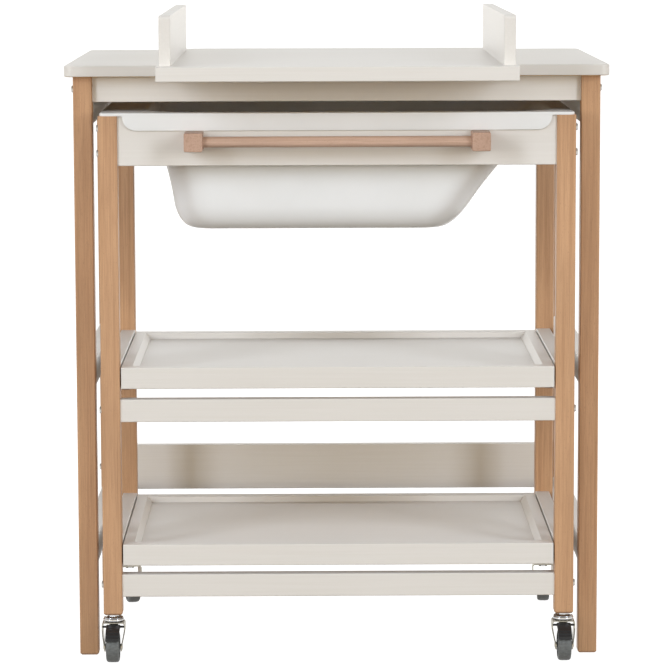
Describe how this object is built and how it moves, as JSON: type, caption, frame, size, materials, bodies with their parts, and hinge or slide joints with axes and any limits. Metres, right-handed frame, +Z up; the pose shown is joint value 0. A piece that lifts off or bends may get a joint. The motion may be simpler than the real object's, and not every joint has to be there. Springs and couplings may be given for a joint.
{
  "type": "changing table with bathtub",
  "caption": "Changing table with a lift-off changing tray; a trolley on swivel casters rolls out from under it and carries a plastic bathtub, a handle and recessed shelves.",
  "frame": {"origin": "on the floor under the middle of the whole outline, tray overhang included", "axes": "+Z up, -Y towards the handle and the tray's front edge, +X to the right seen from the front"},
  "size_m": [0.855, 0.765, 1.024],
  "materials": {
    "painted_board": "satin off-white paint",
    "beech": "matt clear lacquer",
    "tub_plastic": "smooth white",
    "chrome": "bright",
    "steel": "zinc plated",
    "wheel_rubber": "dark grey",
    "pedal_plastic": "black",
    "plug_rubber": "white"
  },
  "bodies": {
    "table": {"top_board": "painted_board", "front_apron": "painted_board", "back_apron": "painted_board", "back_stretcher": "painted_board", "table_fittings": "steel", "side_apron_left": "painted_board", "table_upper_rail_left": "painted_board", "table_lower_rail_left": "painted_board", "table_leg_front_left": "beech", "table_leg_back_left": "beech", "side_apron_right": "painted_board", "table_upper_rail_right": "painted_board", "table_lower_rail_right": "painted_board", "table_leg_front_right": "beech", "table_leg_back_right": "beech"},
    "changing_tray": {"tray_base": "painted_board", "tray_front_rail": "painted_board", "tray_side_left": "painted_board", "tray_stop_left": "painted_board", "tray_side_right": "painted_board", "tray_stop_right": "painted_board"},
    "trolley": {"trolley_front_rail": "painted_board", "trolley_back_rail": "painted_board", "upper_stretcher_front": "painted_board", "upper_stretcher_back": "painted_board", "lower_stretcher_front": "painted_board", "lower_stretcher_back": "painted_board", "upper_shelf_border": "painted_board", "upper_shelf_floor": "painted_board", "lower_shelf_border": "painted_board", "lower_shelf_floor": "painted_board", "shelf_runners": "beech", "trolley_fittings": "steel", "handle_bar": "beech", "caster_stems": "chrome", "trolley_leg_front_left": "beech", "trolley_leg_back_left": "beech", "trolley_top_rail_left": "painted_board", "upper_shelf_rail_left": "painted_board", "lower_shelf_rail_left": "painted_board", "handle_block_left": "beech", "trolley_leg_front_right": "beech", "trolley_leg_back_right": "beech", "trolley_top_rail_right": "painted_board", "upper_shelf_rail_right": "painted_board", "lower_shelf_rail_right": "painted_board", "handle_block_right": "beech"},
    "bathtub": {"bathtub": "tub_plastic"},
    "drain_plug": {"drain_plug": "plug_rubber"},
    "caster_front_left": {"caster_fork_front_left": "chrome"},
    "wheel_front_left": {"caster_wheel_front_left": "wheel_rubber"},
    "brake_front_left": {"brake_pedal_front_left": "pedal_plastic"},
    "caster_front_right": {"caster_fork_front_right": "chrome"},
    "wheel_front_right": {"caster_wheel_front_right": "wheel_rubber"},
    "brake_front_right": {"brake_pedal_front_right": "pedal_plastic"},
    "caster_rear_left": {"caster_fork_rear_left": "chrome"},
    "wheel_rear_left": {"caster_wheel_rear_left": "wheel_rubber"},
    "caster_rear_right": {"caster_fork_rear_right": "chrome"},
    "wheel_rear_right": {"caster_wheel_rear_right": "wheel_rubber"}
  },
  "joints": [
    {"name": "tray_lift", "type": "slide", "parent": "table", "child": "changing_tray", "axis": [0, 0, 1], "range_m": [0, 0.12]},
    {"name": "trolley_roll", "type": "slide", "parent": "table", "child": "trolley", "axis": [0, -1, 0], "range_m": [0, 0.6]},
    {"name": "bathtub_lift", "type": "slide", "parent": "trolley", "child": "bathtub", "axis": [0, 0, 1], "range_m": [0, 0.012]},
    {"name": "plug_pull", "type": "slide", "parent": "bathtub", "child": "drain_plug", "axis": [0, 0, 1], "range_m": [0, 0.025]},
    {"name": "swivel_front_left", "type": "hinge", "parent": "trolley", "child": "caster_front_left", "pos_m": [-0.358, -0.2425, 0.065], "axis": [0, 0, 1], "range_deg": [-90, 180]},
    {"name": "wheel_spin_front_left", "type": "hinge", "parent": "caster_front_left", "child": "wheel_front_left", "pos_m": [-0.358, -0.2665, 0.025], "axis": [1, 0, 0], "continuous": true},
    {"name": "brake_front_left", "type": "hinge", "parent": "caster_front_left", "child": "brake_front_left", "pos_m": [-0.358, -0.2555, 0.0545], "axis": [-1, 0, 0], "range_deg": [0, 15]},
    {"name": "swivel_front_right", "type": "hinge", "parent": "trolley", "child": "caster_front_right", "pos_m": [0.358, -0.2425, 0.065], "axis": [0, 0, 1], "range_deg": [-180, 90]},
    {"name": "wheel_spin_front_right", "type": "hinge", "parent": "caster_front_right", "child": "wheel_front_right", "pos_m": [0.358, -0.2665, 0.025], "axis": [1, 0, 0], "continuous": true},
    {"name": "brake_front_right", "type": "hinge", "parent": "caster_front_right", "child": "brake_front_right", "pos_m": [0.358, -0.2555, 0.0545], "axis": [-1, 0, 0], "range_deg": [0, 15]},
    {"name": "swivel_rear_left", "type": "hinge", "parent": "trolley", "child": "caster_rear_left", "pos_m": [-0.358, 0.2115, 0.065], "axis": [0, 0, 1], "continuous": true},
    {"name": "wheel_spin_rear_left", "type": "hinge", "parent": "caster_rear_left", "child": "wheel_rear_left", "pos_m": [-0.35219, 0.18821, 0.025], "axis": [0.9703, 0.2419, 0], "continuous": true},
    {"name": "swivel_rear_right", "type": "hinge", "parent": "trolley", "child": "caster_rear_right", "pos_m": [0.358, 0.2115, 0.065], "axis": [0, 0, 1], "continuous": true},
    {"name": "wheel_spin_rear_right", "type": "hinge", "parent": "caster_rear_right", "child": "wheel_rear_right", "pos_m": [0.35674, 0.18753, 0.025], "axis": [0.9986, -0.0523, 0], "continuous": true}
  ]
}
